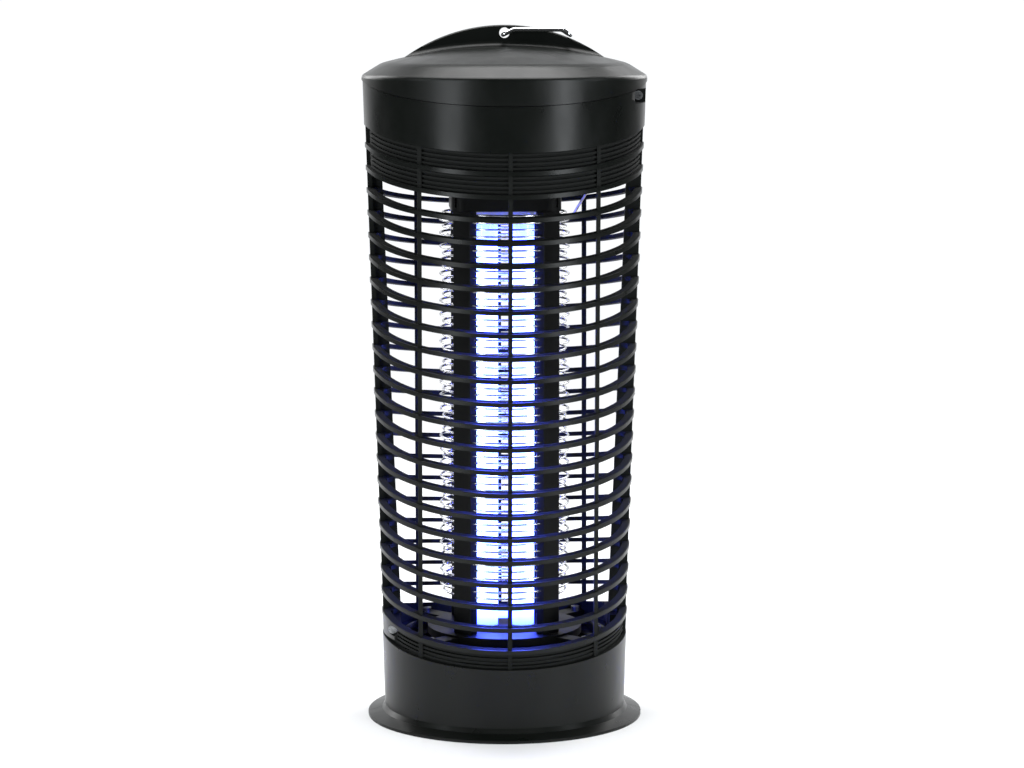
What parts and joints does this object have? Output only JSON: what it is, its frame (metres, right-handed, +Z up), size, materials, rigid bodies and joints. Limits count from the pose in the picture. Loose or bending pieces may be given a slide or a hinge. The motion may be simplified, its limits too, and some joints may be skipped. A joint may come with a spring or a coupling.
{
  "type": "electric bug zapper",
  "caption": "Free-standing or hanging electric insect killer: a tapered round cage with drooping bars, a domed lid with a wire loop, a lit twin-tube lamp in a wire grid and a pull-out tray.",
  "frame": {"origin": "centre of the footprint, on the floor under the brim", "axes": "+Z up through the lid; -Y is the front, with the upper screw notch at its right; +X is the right side as seen from the front"},
  "size_m": [0.1458, 0.1458, 0.3574],
  "materials": {
    "housing_black": "satin moulded",
    "tray_black": "satin moulded",
    "funnel_black": "gloss",
    "insulator_black": "fine matte",
    "head_black": "fine matte",
    "deck_black": "fine matte",
    "loop_chrome": "bright plated wire",
    "screw_steel": "dark zinc",
    "grid_steel": "bright drawn wire",
    "bus_steel": "bright drawn rod",
    "lead_copper": "tinned wire",
    "lamp_tube": "lit ultraviolet glass",
    "lamp_collar": "white moulded",
    "pin_brass": "bright",
    "socket_white": "moulded",
    "core_steel": "varnished laminations",
    "coil_copper": "enamelled winding",
    "board_green": "solder mask",
    "capacitor_red": "dipped",
    "diode_black": "moulded",
    "resistor_tan": "coated",
    "terminal_white": "moulded",
    "gland_rubber": "matte"
  },
  "bodies": {
    "housing": {"front_shell": "housing_black", "rear_shell": "housing_black", "lid": "housing_black", "shell_screws": "screw_steel", "deck": "deck_black", "deck_screws": "screw_steel", "ballast_core": "core_steel", "ballast_coil": "coil_copper", "circuit_board": "board_green", "board_capacitors": "capacitor_red", "board_diodes": "diode_black", "bleed_resistor": "resistor_tan", "terminal_block": "terminal_white", "terminal_screws": "screw_steel", "cord_gland": "gland_rubber", "inner_grid_wires": "grid_steel", "outer_grid_wires": "grid_steel", "grid_post_front_right": "insulator_black", "grid_post_front_left": "insulator_black", "grid_post_rear_right": "insulator_black", "grid_post_rear_left": "insulator_black", "grid_head": "head_black", "lower_grid_plate": "insulator_black", "plate_screws": "screw_steel", "inner_bus_bar": "bus_steel", "outer_bus_bar": "bus_steel", "right_grid_lead": "lead_copper", "rear_grid_lead": "lead_copper", "funnel_ring": "funnel_black", "lamp_glass": "lamp_tube", "lamp_base": "lamp_collar", "lamp_pins": "pin_brass", "lamp_socket": "socket_white"},
    "hang_loop": {"hanging_loop": "loop_chrome"},
    "tray": {"insect_tray": "tray_black"}
  },
  "joints": [
    {"name": "loop_hinge", "type": "hinge", "parent": "housing", "child": "hang_loop", "pos_m": [-0.0008, 0, 0.3524], "axis": [0, -1, 0], "range_deg": [0, 165]},
    {"name": "tray_slide", "type": "slide", "parent": "housing", "child": "tray", "axis": [0, 0, -1], "range_m": [0, 0.05]}
  ]
}
